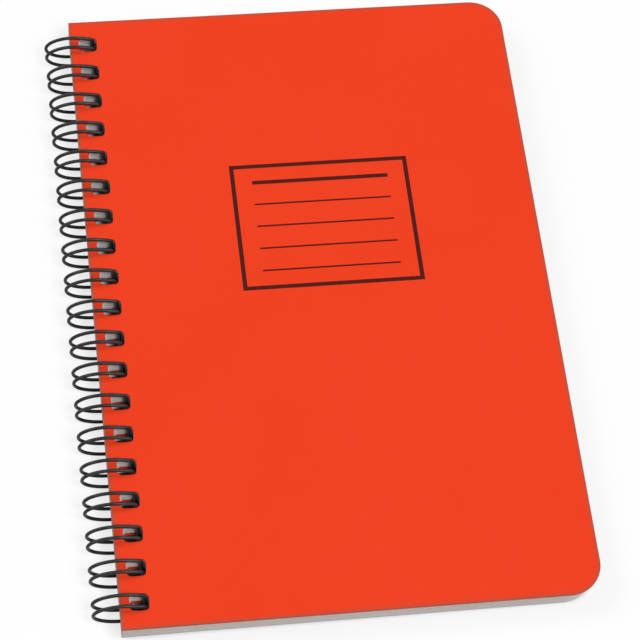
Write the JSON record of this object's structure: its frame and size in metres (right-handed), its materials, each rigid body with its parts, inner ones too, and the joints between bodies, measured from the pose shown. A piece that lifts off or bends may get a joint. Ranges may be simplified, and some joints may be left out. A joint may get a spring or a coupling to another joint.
{
  "type": "wire-bound notebook",
  "caption": "Slim notebook with round-cornered plastic covers and a block of pages, bound along its long side with a closed twin-loop wire.",
  "frame": {"origin": "middle of the outer box in X and Y, on the surface that the wire loops lie on", "axes": "+X from the bound edge to the open edge, +Y up the page, +Z out of the front cover"},
  "size_m": [0.1243, 0.1778, 0.0094],
  "materials": {
    "cover_plastic": "satin orange-red sheet with a fine grain",
    "ink": "flat dark ink",
    "paper": "uncoated paper, cut edges",
    "coated_wire": "steel wire with a smooth black coat"
  },
  "bodies": {
    "bound_block": {"pages": "paper", "wire_binding": "coated_wire"},
    "front_cover": {"front_cover": "cover_plastic", "cover_print": "ink"},
    "back_cover": {"back_cover": "cover_plastic"}
  },
  "joints": [
    {"name": "front_cover_hinge", "type": "hinge", "parent": "bound_block", "child": "front_cover", "pos_m": [-0.05543, 0, 0.00457], "axis": [0, -1, 0], "range_deg": [0, 180]},
    {"name": "back_cover_hinge", "type": "hinge", "parent": "bound_block", "child": "back_cover", "pos_m": [-0.05502, 0, 0.00497], "axis": [0, 1, 0], "range_deg": [0, 180]}
  ]
}
